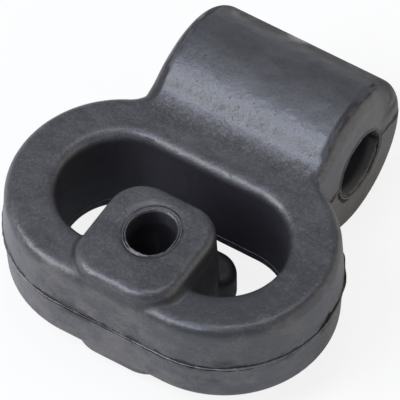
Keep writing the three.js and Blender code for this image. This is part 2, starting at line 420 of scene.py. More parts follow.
# Each band says where a mask starts and where it is full, in millimetres or on noise from 0 to 1,
# and for some also what the mask starts and ends at.
EDGE_START = BARREL_HALF_LENGTH - BARREL_EDGE
WEAR_AND_SHADE_BANDS = {
    "opening": (OPENING_RADIUS + 1.2, OPENING_RADIUS + 0.2),
    "below the opening's edge": (RING_HALF_HEIGHT - 0.6, RING_HALF_HEIGHT - 2.4),
    "boss bore": (BOSS_BORE + 0.5, BOSS_BORE + 0.3),
    "below the boss bore's mouth": (BOSS_HALF_HEIGHT - 0.3, BOSS_HALF_HEIGHT - 1.0),
    "outer boss bore": (BOSS_HALF_HEIGHT - 10.0, BOSS_HALF_HEIGHT - 5.0),
    "deep boss bore": (BOSS_HALF_HEIGHT - 5.0, BOSS_HALF_HEIGHT - 10.0),
    "barrel bore": (BARREL_BORE + 0.3, BARREL_BORE + 0.1),
    "deep barrel bore": (BARREL_HALF_LENGTH - 1.4, BARREL_HALF_LENGTH - 2.8),
    "barrel mouth": (BARREL_BORE + 0.35, BARREL_BORE + 0.15),
    "outer barrel bore": (BARREL_HALF_LENGTH - 2.8, BARREL_HALF_LENGTH - 1.4),
    "seam reach": (0.35, 0.65, 0.5, 2.6),
    "seam": (1.0, 0.5),
    "bore ring": (0.8, 0.4),
    "end face": (BARREL_HALF_LENGTH - 1.6, BARREL_HALF_LENGTH - 0.5),
    "barrel section": (BARREL_RADIUS + 3.0, BARREL_RADIUS - 1.0),
    "boss face": (BOSS_HALF_HEIGHT - 0.6, BOSS_HALF_HEIGHT - 0.4),
    "round the lip": (0.26, 0.1),
    "lip gaps": (0.3, 0.55),
    "near the seam": (3.2, 0.3),
    "seam blots": (0.5, 0.62),
    "barrel rear": (BARREL_Y + 6.0, BARREL_Y + 12.0),
    "barrel top": (2.0, 5.0),
    "rear blots": (0.3, 0.55),
    "boss side": (1.0, 0.2),
    "below the boss face": (BOSS_HALF_HEIGHT - 1.0, BOSS_HALF_HEIGHT - 1.8),
    "above the ring's flat": (RING_HALF_HEIGHT - 1.9, RING_HALF_HEIGHT - 0.9),
    "behind the boss front": (BOSS_FRONT + 1.0, BOSS_FRONT + 5.0, 0.45, 1.0),
    "crease gaps": (0.2, 0.6, 0.4, 1.0),
    "up the neck": (NECK_FOOT - 2.0, NECK_FOOT + 1.5),
    "off the barrel": (NECK_FOOT + 8.0, NECK_FOOT + 4.5),
    "neck width": (BARREL_HALF_LENGTH + 0.5, BARREL_HALF_LENGTH - 3.0),
    "handled side": (NECK_FOOT + 9.0, NECK_FOOT + 2.0),
    "right side": (-2.0, 22.0),
    "front side": (14.0, -8.0, 0.1, 1.0),
    "under side": (-0.5, -5.0),
    "ring wall": (RING_END_RADIUS - 1.6, RING_END_RADIUS - 0.8),
    "before the neck": (18.0, 12.0),
    "mottle": (0.38, 0.62, -1.0, 1.0),
    "edge starts": (EDGE_START + 0.1, EDGE_START + 0.9),
    "edge ends": (EDGE_START + 2.7, EDGE_START + 1.7),
    "outside the end face": (BARREL_RADIUS - BARREL_EDGE, BARREL_RADIUS - 1.0),
    "off the neck": (BARREL_RADIUS + 4.0, BARREL_RADIUS + 0.5),
    "streaks": (0.40, 0.58),
}
WEAR_AND_SHADE_MASKS = ("Clean and shaded", "Mouth dust and light", "Seam", "Smudge and shade", "Crease shade", "Dusty", "Handled", "Wiped", "Under",
              "End", "Behind", "Wall", "Mottle", "Rubbed")

# These noises start with their size in millimetres.
WAVER_NOISE = (3.0, 3.0, 0.6, 23.0)
BLOT_NOISE = (6.0, 3.0, 0.55, 27.0)
STREAK_NOISE = (3.0, 3.0, 0.6, 29.0)
MOTTLE_NOISE = (4.5, 3.0, 0.55, 33.0)
STREAKS_DRAWN = (2.2, 0.6, 0.6)
BOSS_BORE_CLEAN_AND_SHADE = 0.6
BARREL_BORE_CLEAN_AND_SHADE = 0.3
BORE_RING = BARREL_BORE + 0.8
LIP_RING = BOSS_BORE + 0.9
CREASE_CORNER = BOSS_CORNER - 0.1

# Smudges of dirt and painted shade, each with its middle and its size.
DIRT_AND_SHADE_SMUDGES = (
    ((24.0, -19.5, 1.6), 2.4),
    ((21.0, -21.0, -4.2), 2.8),
    ((34.2, 3.0, 0.5), 2.4),
)
SMUDGE_FLATTENED = (0.6, 0.6, 1.4)
SMUDGE_RAGGED = 2.6
SMUDGE_CORE = -0.1
SMUDGE_DARKEST = 0.85


def wear_and_painted_light_places():
    """Where this moulding is clean, dirty, dusty or rubbed, and where shade and light are painted on it,
    from the place on it.
    """
    group, given, result = effect("places of wear and painted light", {"Place": None, "Seam width": 0.55}, WEAR_AND_SHADE_MASKS)
    local = vectors(group, "SUBTRACT", given["Place"], tuple(TO_FRAME))
    x, y, z = add(group, "ShaderNodeSeparateXYZ", {"Vector": local}).outputs
    across = maths(group, "ABSOLUTE", x)
    height = maths(group, "ABSOLUTE", z)
    waver = noise(group, local, *WAVER_NOISE)
    blots = noise(group, local, *BLOT_NOISE)
    mottle = noise(group, local, *MOTTLE_NOISE)
    streaks = noise(group, vectors(group, "MULTIPLY", local, STREAKS_DRAWN), *STREAK_NOISE)

    def less(value, amount):
        return maths(group, "SUBTRACT", value, amount)

    def aside(value, middle):
        return maths(group, "ABSOLUTE", less(value, middle))

    def beyond(value, limit):
        return maths(group, "MAXIMUM", less(value, limit), 0.0)

    def apart(u, v):
        return maths(group, "SQRT", maths(group, "MULTIPLY_ADD", u, u, maths(group, "MULTIPLY", v, v)))

    def band(value, name):
        return stretch(group, value, *WEAR_AND_SHADE_BANDS[name])

    # The opening's wall and the bores are clean rubber, darkened further as painted shade,
    # with dust and painted light in the barrel bore's mouths and deep in the boss's bore.
    from_middle = apart(beyond(across, RING_END_X), y)
    from_boss_bore = apart(x, less(y, BOSS_BORE_Y))
    from_barrel_bore = apart(less(y, BARREL_Y), z)
    in_opening = band(from_middle, "opening")
    opening_wall = product(group, in_opening, band(z, "below the opening's edge"))
    at_boss_bore = band(from_boss_bore, "boss bore")
    at_depth = product(group, band(height, "below the boss bore's mouth"), band(height, "outer boss bore"))
    upright_bore = product(group, at_boss_bore, at_depth, BOSS_BORE_CLEAN_AND_SHADE)
    level_bore = product(group, band(from_barrel_bore, "barrel bore"), band(across, "deep barrel bore"))
    level_bore = maths(group, "MULTIPLY", level_bore, BARREL_BORE_CLEAN_AND_SHADE)
    feed(group, result["Clean and shaded"], largest(group, opening_wall, upright_bore, level_bore))
    # The barrel bore's mouths and the deep boss bore get dust and painted light.
    level_mouth = product(group, band(from_barrel_bore, "barrel mouth"), band(across, "outer barrel bore"))
    upright_deep = product(group, at_boss_bore, band(height, "deep boss bore"))
    feed(group, result["Mouth dust and light"], largest(group, level_mouth, upright_deep))

    # Dirt and painted shade darken the parting line, the ring round the barrel's bore and just outside the
    # boss's lip.
    reach = maths(group, "MULTIPLY", given["Seam width"], band(waver, "seam reach"))
    outside = less(1.0, in_opening)
    at_seam = product(group, band(maths(group, "DIVIDE", height, reach), "seam"), outside)
    on_end = product(group, band(across, "end face"), band(from_barrel_bore, "barrel section"))
    from_ring = maths(group, "ADD", aside(from_barrel_bore, BORE_RING), maths(group, "MAXIMUM", z, 0.0))
    at_ring = product(group, on_end, band(maths(group, "DIVIDE", from_ring, reach), "bore ring"))
    lip_x = maths(group, "DIVIDE", x, BOSS_BORE_SHAPE[0])
    lip_y = maths(group, "DIVIDE", less(y, BOSS_BORE_Y + LIP_BACK), BOSS_BORE_SHAPE[1])
    from_lip = aside(apart(lip_x, lip_y), LIP_RING)
    on_lip = product(group, band(height, "boss face"), band(from_lip, "round the lip"))
    at_lip = product(group, on_lip, band(waver, "lip gaps"))
    feed(group, result["Seam"], largest(group, at_seam, at_ring, at_lip))
    feed(group, result["End"], on_end)

    # Smudges lie near the parting line, on the barrel's rear and in a few places of their own; by the seam
    # they are dirt and painted shade of the crevice beside the flash.
    near_seam = product(group, band(height, "near the seam"), outside, band(blots, "seam blots"))
    rear_top = product(group, band(y, "barrel rear"), band(z, "barrel top"))
    feed(group, result["Behind"], rear_top)
    smudge_and_shade = largest(group, near_seam, product(group, rear_top, band(blots, "rear blots")))
    for middle, size in DIRT_AND_SHADE_SMUDGES:
        off = vectors(group, "MULTIPLY", vectors(group, "SUBTRACT", local, middle), SMUDGE_FLATTENED)
        far = less(vectors(group, "LENGTH", off), SMUDGE_RAGGED / 2 * size)
        uneven = maths(group, "MULTIPLY_ADD", waver, SMUDGE_RAGGED * size, far)
        spot = stretch(group, uneven, size, SMUDGE_CORE * size, 0.0, SMUDGE_DARKEST)
        smudge_and_shade = maths(group, "MAXIMUM", smudge_and_shade, spot)
    feed(group, result["Smudge and shade"], smudge_and_shade)

    # Painted shade darkens the crease where the boss rises from the ring.
    from_boss_middle = aside(y, (BOSS_FRONT + BOSS_REAR) / 2)
    past_side = beyond(across, BOSS_HALF_WIDTH - BOSS_CORNER)
    past_front = beyond(from_boss_middle, (BOSS_REAR - BOSS_FRONT) / 2 - BOSS_CORNER)
    at_side = band(aside(apart(past_side, past_front), CREASE_CORNER), "boss side")
    at_root = product(group, at_side, band(z, "below the boss face"), band(z, "above the ring's flat"))
    off_front = band(y, "behind the boss front")
    feed(group, result["Crease shade"], product(group, at_root, off_front, band(waver, "crease gaps")))

    # Dust lies in the neck's hollow, and hands have wiped the ring and the boss in front of it.
    dusty = product(group, band(y, "up the neck"), band(y, "off the barrel"), band(across, "neck width"))
    feed(group, result["Dusty"], dusty)
    handled = band(y, "handled side")
    feed(group, result["Handled"], handled)
    feed(group, result["Wiped"], product(group, handled, band(x, "right side"), band(y, "front side")))
    feed(group, result["Under"], band(z, "under side"))

    # The ring's wall is mottled, and the barrel's end edges are rubbed dark in streaks.
    wall = product(group, band(from_middle, "ring wall"), band(y, "before the neck"))
    feed(group, result["Wall"], wall)
    feed(group, result["Mottle"], product(group, wall, band(mottle, "mottle")))
    on_edge = product(group, band(across, "edge starts"), band(across, "edge ends"))
    outside_face = band(from_barrel_bore, "outside the end face")
    on_rim = product(group, outside_face, band(from_barrel_bore, "off the neck"))
    feed(group, result["Rubbed"], product(group, on_edge, on_rim, band(streaks, "streaks")))
    return group


SKIN = moulded_skin()
BLOOM = dust_bloom()
PLACES = wear_and_painted_light_places()
RUBBER_SHEEN = 0.7
# Near-black of the clean holes, darker than the rubber itself as painted shade.
CLEAN_AND_SHADED_BLACK = (0.008, 0.007, 0.013)
CLEAN_AND_SHADE_DEPTH = 0.85
# Black for dirt and painted shade: the seam's lines, the boss's crease, smudges, rubbed streaks and pits.
DIRT_AND_SHADE_BLACK = (0.006, 0.006, 0.007)
ROAD_DUST = (0.140, 0.124, 0.107)
# Light grey in the barrel bore's mouths and deep in the boss's bore: dust, and painted light where the
# lamps don't reach.
MOUTH_DUST_AND_LIGHT = (0.150, 0.150, 0.152)
SPECK_MIDDLE = 0.4
SPECK_LEAST = 0.20
SPECKS_BY_PLACE = {"Handled": 0.15, "Dusty": 0.35}
COVER_LEAST = 0.20
COVER_BY_FILM = 0.55
COVER_BY_PLACE = {"Wiped": -0.36, "Dusty": 0.10, "Under": 0.14, "End": 0.06, "Mottle": 0.22}
WARM_BY_PLACE = {"End": 1.0, "Wall": 0.7, "Behind": 0.8, "Handled": 0.2}
DIRT_AND_SHADE_BY_PLACE = {"Smudge and shade": 0.75, "Seam": 1.0, "Rubbed": 0.9, "Crease shade": 1.0}
DIRT_BY_PITS = 0.4
ROUGH_BY_GRAIN = 0.24
ROUGH_BY_COVER = 0.12
ROUGH_BY_CLEAN = 0.25
ROUGH_BY_DIRT = 0.45


def mixed(tree, share, *colours):
    """A colour on the way from one to another."""
    first, second = (c if isinstance(c, bpy.types.NodeSocket) else (*c, 1) for c in colours)
    return add(tree, "ShaderNodeMix", {0: share, 6: first, 7: second}, data_type="RGBA").outputs[2]


def topped_up(tree, value, masks, shares):
    """A value with a share of each named mask added to it."""
    for name, share in shares.items():
        value = maths(tree, "MULTIPLY_ADD", masks[name], share, value)
    return value


def strongest(tree, masks, shares):
    """The largest of the named masks, each times its share."""
    return largest(tree, *(maths(tree, "MULTIPLY", masks[name], share) for name, share in shares.items()))


def rubber_finish(name, base, film, roughness, skin_depth, dirt_and_shade_share=0.0, hole_shade_and_light_share=0.0):
    """Black moulded rubber: a dark base under a grey film, clean with painted shade in the holes,
    lightened with dust and painted light in the bore mouths, and dark with dirt and painted shade at the
    seam.
    """
    material = bpy.data.materials.new(name)
    material.use_nodes = True
    tree = material.node_tree
    shader = tree.nodes["Principled BSDF"]
    shader.inputs["Specular IOR Level"].default_value = RUBBER_SHEEN
    metres = add(tree, "ShaderNodeTexCoord").outputs["Object"]
    place = vectors(tree, "MULTIPLY", metres, (1 / MM,) * 3)
    groups = (SKIN, BLOOM, PLACES)
    skin, bloom, places = (add(tree, "ShaderNodeGroup", node_tree=group) for group in groups)
    for part in (skin, bloom, places):
        feed(tree, part.inputs["Place"], place)
    masks = places.outputs
    clean_and_shaded = maths(tree, "MULTIPLY", masks["Clean and shaded"], hole_shade_and_light_share)
    grainy = topped_up(tree, SPECK_LEAST, masks, SPECKS_BY_PLACE)
    specks = maths(tree, "SUBTRACT", bloom.outputs["Specks"], SPECK_MIDDLE)
    specks = maths(tree, "MULTIPLY_ADD", specks, grainy, COVER_LEAST)
    cover = maths(tree, "MULTIPLY_ADD", bloom.outputs["Film"], COVER_BY_FILM, specks)
    cover = topped_up(tree, cover, masks, COVER_BY_PLACE)
    cover = maths(tree, "MULTIPLY", cover, maths(tree, "SUBTRACT", 1.0, clean_and_shaded), clamp=True)
    film_colour = mixed(tree, strongest(tree, masks, WARM_BY_PLACE), film, ROAD_DUST)
    colour = mixed(tree, cover, base, film_colour)
    # Bore mouths and the deep boss bore are lightened with dust and painted light.
    colour = mixed(tree, maths(tree, "MULTIPLY", masks["Mouth dust and light"], hole_shade_and_light_share), colour, MOUTH_DUST_AND_LIGHT)
    # Clean rubber in the opening and the bores, taken further towards black as painted shade.
    colour = mixed(tree, maths(tree, "MULTIPLY", clean_and_shaded, CLEAN_AND_SHADE_DEPTH), colour, CLEAN_AND_SHADED_BLACK)
    # Dirt and painted shade: shade along the seam and in the crease, dirt and shade in smudges, dirt in
    # rubbed streaks and pits.
    dirt_and_shade = maths(tree, "MULTIPLY", strongest(tree, masks, DIRT_AND_SHADE_BY_PLACE), dirt_and_shade_share)
    dirt_and_shade = maths(tree, "MAXIMUM", dirt_and_shade, maths(tree, "MULTIPLY", skin.outputs["Pits"], DIRT_BY_PITS))
    feed(tree, shader.inputs["Base Color"], mixed(tree, dirt_and_shade, colour, DIRT_AND_SHADE_BLACK))
    smoothest = roughness - ROUGH_BY_GRAIN / 2
    rough = maths(tree, "MULTIPLY_ADD", skin.outputs["Grain"], ROUGH_BY_GRAIN, smoothest)
    rough = maths(tree, "MULTIPLY_ADD", cover, ROUGH_BY_COVER, rough)
    rough = maths(tree, "MULTIPLY_ADD", clean_and_shaded, ROUGH_BY_CLEAN, rough)
    rough = maths(tree, "MULTIPLY_ADD", dirt_and_shade, ROUGH_BY_DIRT, rough)
    feed(tree, shader.inputs["Roughness"], rough)
    bump = {"Strength": 1.0, "Distance": skin_depth * MM, "Height": skin.outputs["Height"]}
    feed(tree, shader.inputs["Normal"], add(tree, "ShaderNodeBump", bump).outputs["Normal"])
    return material


RUBBER_BASE = (0.029, 0.030, 0.036)
RUBBER_FILM = (0.088, 0.091, 0.104)
RUBBER_ROUGHNESS = 0.34
RUBBER_SKIN_DEPTH = 0.12
rubber = rubber_finish(
    "moulded black rubber", RUBBER_BASE, RUBBER_FILM, RUBBER_ROUGHNESS, RUBBER_SKIN_DEPTH,
    dirt_and_shade_share=1.0, hole_shade_and_light_share=1.0,
)
body.data.materials.append(rubber)
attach(body, "root")
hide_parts("hanger")

# Parting flash.
# Thin fin of rubber squeezed out between the mould halves, all round the outside of the hanger.
# At the barrel's ends it steps down round the lower half of the bore, where the core pin was held.
FIN_REACH = 0.25
FIN_ROOT = 0.5
FIN_THICKNESS = 0.24
FIN_TIP = 0.16
FIN_WANDER = 0.2
FIN_GRAIN = 1.6
FIN_TORN = 0.35
FIN_STEP = 0.3
FIN_SEED = 2.0
FIN_BORE_RING = BARREL_BORE + 0.55
FIN_UNEVEN = (0.3, 0.65, 0.55, 1.0)
TEAR_FINENESS = 0.45
TEAR_DETAIL = 3.0
TEAR_SEED = 5.0
TEAR_SOFTNESS = 0.02
TEAR_LEFT = 0.35
WANDER_GRAINS = 4.0
WANDER_DETAIL = 1.0
WANDER_SEED = 9.0
# The flash is painted light grey: light wear, and a painted highlight along its thin edge.
FLASH_WEAR_AND_HIGHLIGHT_BASE = (0.10, 0.10, 0.102)
FLASH_WEAR_AND_HIGHLIGHT_FILM = (0.26, 0.26, 0.262)
FLASH_ROUGHNESS = 0.36
FLASH_SKIN_DEPTH = 0.04

# Each place has its x and y, its width and how much fuller the fin is there.
FIN_FULL_PLACES = (
    (31.0, 13.0, 4.0, -0.5),
    (27.5, -16.5, 3.0, 0.9),
    (-34.0, -3.0, 4.0, 0.9),
    (20.0, 50.0, 6.0, -0.6),
    (20.0, 23.5, 2.5, -0.9),
    (-5.0, -23.0, 8.0, -0.85),
)


def arc(x, y, radius, start, end, upright=False):
    """Points on an arc, in degrees, that lies level or stands in the end of the barrel."""
    count = max(4, int(abs(end - start) / 180 * math.pi * radius))
    turn = np.radians(np.linspace(start, end, count))
    if upright:
        return [(x, y + radius * math.cos(a), radius * math.sin(a)) for a in turn]
    return [(x + radius * math.cos(a), y + radius * math.sin(a), 0.0) for a in turn]


def parting_line():
    """The line in which the mould halves meet, once round the outside."""
    meet = math.degrees(math.atan2(NECK_CORNER_Y, NECK_CORNER_X - RING_END_X))
    rear = BARREL_Y + BARREL_RADIUS
    right = [(0.0, -RING_END_RADIUS, 0.0)]
    right += arc(RING_END_X, 0, RING_END_RADIUS, -90, meet)
    right += arc(NECK_CORNER_X, NECK_CORNER_Y, NECK_CORNER, 180 + meet, 180)
    right += arc(BARREL_HALF_LENGTH, BARREL_Y, FIN_BORE_RING, 180, 360, upright=True)
    right += arc(BARREL_HALF_LENGTH - BARREL_EDGE, rear - BARREL_EDGE, BARREL_EDGE, 0, 90)
    left = [(-x, y, z) for x, y, z in reversed(right[1:])]
    return right + [(0.0, rear, 0.0)] + left


def result_of(tree, kind, sockets=(), **settings):
    """The first output of a new node."""
    return add(tree, kind, sockets, **settings).outputs[0]


def geometry_tree(name, inputs):
    """An empty Geometry Nodes tree with named inputs, its input sockets and its output socket."""
    tree = bpy.data.node_groups.new(name, "GeometryNodeTree")
    tree.interface.new_socket("Geometry", in_out="INPUT", socket_type="NodeSocketGeometry")
    for socket, kind in inputs.items():
        tree.interface.new_socket(socket, in_out="INPUT", socket_type="NodeSocket" + kind)
    tree.interface.new_socket("Geometry", in_out="OUTPUT", socket_type="NodeSocketGeometry")
    return tree, tree.nodes.new("NodeGroupInput").outputs, tree.nodes.new("NodeGroupOutput").inputs


def end_tree(tree, geometry, material, result):
    """Real geometry with its material set, as every tree here ends."""
    real = result_of(tree, "GeometryNodeRealizeInstances", {"Geometry": geometry})
    ended = result_of(tree, "GeometryNodeSetMaterial", {"Geometry": real, "Material": material})
    feed(tree, result["Geometry"], ended)


def moved(tree, geometry, offset):
    """Geometry with its points moved by an offset."""
    return result_of(tree, "GeometryNodeSetPosition", {"Geometry": geometry, "Offset": offset})


def fin_tree():
    """A wedge carried along a path, of uneven reach, with torn gaps and a slight wander up and down."""
    sizes = ("Reach", "Root", "Thickness", "Tip", "Wander", "Grain", "Torn", "Step", "Seed")
    kinds = {**dict.fromkeys(sizes, "Float"), "Material": "Material"}
    tree, given, result = geometry_tree("parting fin", kinds)
    path = result_of(tree, "GeometryNodeMeshToCurve", {"Mesh": given["Geometry"]})
    steps = {"Curve": path, "Length": given["Step"]}
    path = result_of(tree, "GeometryNodeResampleCurve", steps, mode="LENGTH")
    path = result_of(tree, "GeometryNodeSetCurveNormal", {"Curve": path}, mode="Z_UP")
    place = result_of(tree, "GeometryNodeInputPosition")
    rough = noise(tree, place, given["Grain"], offset=given["Seed"])
    uneven = stretch(tree, rough, *FIN_UNEVEN)
    tear_size = maths(tree, "DIVIDE", given["Grain"], TEAR_FINENESS)
    tear_seed = maths(tree, "ADD", given["Seed"], TEAR_SEED)
    tears = noise(tree, place, tear_size, TEAR_DETAIL, offset=tear_seed)
    torn = maths(tree, "SUBTRACT", given["Torn"], TEAR_SOFTNESS)
    sound = maths(tree, "ADD", given["Torn"], TEAR_SOFTNESS)
    whole = stretch(tree, tears, torn, sound, TEAR_LEFT, 1.0)
    full = result_of(tree, "GeometryNodeInputNamedAttribute", {"Name": "fullness"}, data_type="FLOAT")
    share = product(tree, uneven, whole, full)
    height = maths(tree, "ADD", given["Reach"], given["Root"])
    widths = {"Bottom Width": given["Thickness"], "Top Width": given["Tip"]}
    shape = {"Height": height, **widths, "Offset": 0.0}
    wedge = result_of(tree, "GeometryNodeCurvePrimitiveQuadrilateral", shape, mode="TRAPEZOID")
    middle = maths(tree, "DIVIDE", maths(tree, "SUBTRACT", given["Reach"], given["Root"]), 2.0)
    outwards = result_of(tree, "ShaderNodeCombineXYZ", {"X": middle})
    quarter = (0.0, 0.0, -math.pi / 2)
    laid = {"Geometry": wedge, "Rotation": quarter, "Translation": outwards}
    wedge = result_of(tree, "GeometryNodeTransform", laid)
    swept = {"Curve": path, "Profile Curve": wedge, "Scale": share}
    fin = result_of(tree, "GeometryNodeCurveToMesh", swept)
    wander_size = maths(tree, "MULTIPLY", given["Grain"], WANDER_GRAINS)
    wander_seed = maths(tree, "ADD", given["Seed"], WANDER_SEED)
    wander = noise(tree, place, wander_size, WANDER_DETAIL, offset=wander_seed)
    rise = maths(tree, "MULTIPLY", maths(tree, "SUBTRACT", wander, 0.5), given["Wander"])
    fin = moved(tree, fin, result_of(tree, "ShaderNodeCombineXYZ", {"Z": rise}))
    end_tree(tree, fin, given["Material"], result)
    return tree


def made_by_nodes(name, source, tree, values):
    """The plain mesh that a tree makes of a source mesh, as an object of its own."""
    carrier = bpy.data.objects.new(name + "_source", source)
    bpy.context.scene.collection.objects.link(carrier)
    nodes = carrier.modifiers.new("nodes", "NODES")
    nodes.node_group = tree
    for item in tree.interface.items_tree:
        if item.in_out == "INPUT" and item.name in values:
            nodes[item.identifier] = values[item.name]
    evaluated = carrier.evaluated_get(bpy.context.evaluated_depsgraph_get())
    mesh = bpy.data.meshes.new_from_object(evaluated)
    mesh.name = name
    carrier.modifiers.remove(nodes)
    bpy.data.objects.remove(carrier)
    piece = bpy.data.objects.new(name, mesh)
    bpy.context.scene.collection.objects.link(piece)
    return piece


def line_mesh(name, line, full):
    """A closed path as edges, with how full the fin is at each of its points."""
    mesh = bpy.data.meshes.new(name)
    edges = [(i, (i + 1) % len(line)) for i in range(len(line))]
    mesh.from_pydata(((np.array(line) + TO_FRAME) * MM).tolist(), edges, [])
    mesh.attributes.new("fullness", "FLOAT", "POINT").data.foreach_set("value", full)
    return mesh


def fullness(line, usual, places):
    """How full each point of a line is: more or less than usual round some places."""
    full = []
    for x, y, z in line:
        value = usual
        for middle_x, middle_y, width, extra in places:
            apart = (x - middle_x) ** 2 + (y - middle_y) ** 2
            value += extra * math.exp(-apart / (2 * width ** 2))
        full.append(value)
    return full


def in_metres(sizes):
    """Named sizes in millimetres brought to metres."""
    return {name: size * MM for name, size in sizes.items()}


outer_line = parting_line()
outer_fullness = fullness(outer_line, 1.0, FIN_FULL_PLACES)
flash_rubber_with_highlight = rubber_finish("flash rubber with painted highlight", FLASH_WEAR_AND_HIGHLIGHT_BASE, FLASH_WEAR_AND_HIGHLIGHT_FILM, FLASH_ROUGHNESS, FLASH_SKIN_DEPTH)
fin_sizes = {
    "Reach": FIN_REACH, "Root": FIN_ROOT, "Thickness": FIN_THICKNESS, "Tip": FIN_TIP,
    "Wander": FIN_WANDER, "Grain": FIN_GRAIN, "Step": FIN_STEP,
}
fin_values = {**in_metres(fin_sizes), "Torn": FIN_TORN, "Seed": FIN_SEED, "Material": flash_rubber_with_highlight}
fins = fin_tree()
outer_mesh = line_mesh("outer_line", outer_line, outer_fullness)
flash = made_by_nodes("parting_flash", outer_mesh, fins, fin_values)
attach(flash, "root")

# Packed dirt and painted shade.
# A black, almost sheenless band beside the flash, mostly just below it: road dirt, and painted shade of
# the step and crevice under the flash.
# It bulges in two spots at the ring's right rear and climbs over the flash at the ring's right end.
DIRT_REACH = 0.02
DIRT_WIDTH = 1.5
DIRT_TIP = 1.35
DIRT_DROP = 0.2
DIRT_WANDER = 0.3
DIRT_GRAIN = 2.4
DIRT_GAPS = 0.42
DIRT_SEED = 11.0
DIRT_ELSEWHERE = 0.5
DIRT_FULL_PLACES = (
    (23.5, -19.5, 5.5, 0.55),
    (34.2, 2.5, 3.0, 1.4),
    (20.0, 24.0, 2.5, 1.1),
    (20.0, 41.0, 4.0, 0.3),
    (-31.5, -10.5, 4.5, 0.6),
    (29.3, 14.9, 1.5, 1.6),
    (32.1, 10.6, 1.8, 1.1),
)
DIRT_BULGE_PLACES = ((29.3, 14.9, 1.2, 0.32), (32.1, 10.6, 1.5, 0.36))
DIRT_RISEN_PLACES = ((34.2, 2.5, 3.0, 1.0),)
DIRT_AND_SHADE_BASE = (0.010, 0.010, 0.010)
DIRT_AND_SHADE_FILM = (0.022, 0.021, 0.020)
DIRT_ROUGHNESS = 0.75
DIRT_SKIN_DEPTH = 0.1
DIRT_AND_SHADE_SHEEN = 0.02

dirt_rise = fullness(outer_line, -DIRT_DROP, DIRT_RISEN_PLACES)
dirt_bulge = fullness(outer_line, 0.0, DIRT_BULGE_PLACES)
dirt_line = []
for (x, y, z), rise, bulge in zip(outer_line, dirt_rise, dirt_bulge):
    grown = 1 + bulge / RING_END_RADIUS
    dirt_line.append((RING_END_X + (x - RING_END_X) * grown, y * grown, z + rise))
dirt_fullness = fullness(dirt_line, DIRT_ELSEWHERE, DIRT_FULL_PLACES)
dirt_and_shade_rubber = rubber_finish("packed dirt and painted shade", DIRT_AND_SHADE_BASE, DIRT_AND_SHADE_FILM, DIRT_ROUGHNESS, DIRT_SKIN_DEPTH)
# Almost no sheen keeps the band black at every angle, as painted shade.
dirt_and_shade_rubber.node_tree.nodes["Principled BSDF"].inputs["Specular IOR Level"].default_value = DIRT_AND_SHADE_SHEEN
dirt_sizes = {
    "Reach": DIRT_REACH, "Thickness": DIRT_WIDTH, "Tip": DIRT_TIP,
    "Grain": DIRT_GRAIN, "Wander": DIRT_WANDER,
}
dirt_values = {**fin_values, **in_metres(dirt_sizes)}
dirt_values.update({"Torn": DIRT_GAPS, "Seed": DIRT_SEED, "Material": dirt_and_shade_rubber})
dirt_mesh = line_mesh("dirt_line", dirt_line, dirt_fullness)
packed_dirt_and_shade = made_by_nodes("seam_dirt_and_shade", dirt_mesh, fins, dirt_values)
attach(packed_dirt_and_shade, "root")

# Opening flash.
# Fine line of flash low on the opening's wall, where the mould's core met its lower half.
# It is the moulding's own rubber, a little greyer with dust, like the lips round the bores.
OPENING_LINE_Z = -8.4
OPENING_FULLNESS = 0.6
OPENING_SEED = 6.0
LIP_BASE = (0.040, 0.041, 0.046)
LIP_FILM = (0.150, 0.152, 0.160)
LIP_ROUGHNESS = 0.36
LIP_SKIN_DEPTH = 0.05

lip_rubber = rubber_finish("lip rubber", LIP_BASE, LIP_FILM, LIP_ROUGHNESS, LIP_SKIN_DEPTH)
opening_depth = (RING_HALF_HEIGHT - OPENING_LINE_Z) / (2 * RING_HALF_HEIGHT)
opening_radius = OPENING_RADIUS - OPENING_LEAN * opening_depth
opening_line = arc(RING_END_X, 0, opening_radius, 90, -90) + arc(-RING_END_X, 0, opening_radius, 270, 90)
opening_line = [(x, y, OPENING_LINE_Z) for x, y, z in opening_line]
opening_mesh = line_mesh("opening_line", opening_line, [OPENING_FULLNESS] * len(opening_line))
opening_values = {**fin_values, "Seed": OPENING_SEED, "Material": lip_rubber}
opening_flash = made_by_nodes("opening_flash", opening_mesh, fins, opening_values)
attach(opening_flash, "root")

# Bore lips.
# Raised double bead of flash round each mouth of the two bores, where the core pins met the mould.
# The boss's beads are worn down on one side and have a thicker lump at the front.
LIP_WANDER = 0.10
LIP_GRAIN = 1.2
LIP_SEED = 3.0
LIP_SEED_STEP = 4.0
LIP_STEPS = 160
LIP_UNEVEN = (0.35, 0.65, 0.45, 1.1)
BEAD_STEPS = 10

# A lip is given by the radii of its two beads' middles and the radius of a bead itself.
BOSS_LIP = (BOSS_BORE + 0.1, BOSS_BORE + 0.55, 0.15)
BARREL_LIP = (BARREL_BORE + 0.1, BARREL_BORE + 0.5, 0.14)
LIP_Y = BOSS_BORE_Y + LIP_BACK
LIP_HEIGHT = BOSS_HALF_HEIGHT - 0.25
LIP_SUNK = 0.35
BOSS_LIP_WORN = (0.71, -0.71, 0)
WORN_BAND = (0.8, 0.93)
BOSS_LIP_CHIP = (-0.17, -0.98, 0)
CHIP_BAND = (0.88, 0.97)
CHIP_SIZE = 0.5


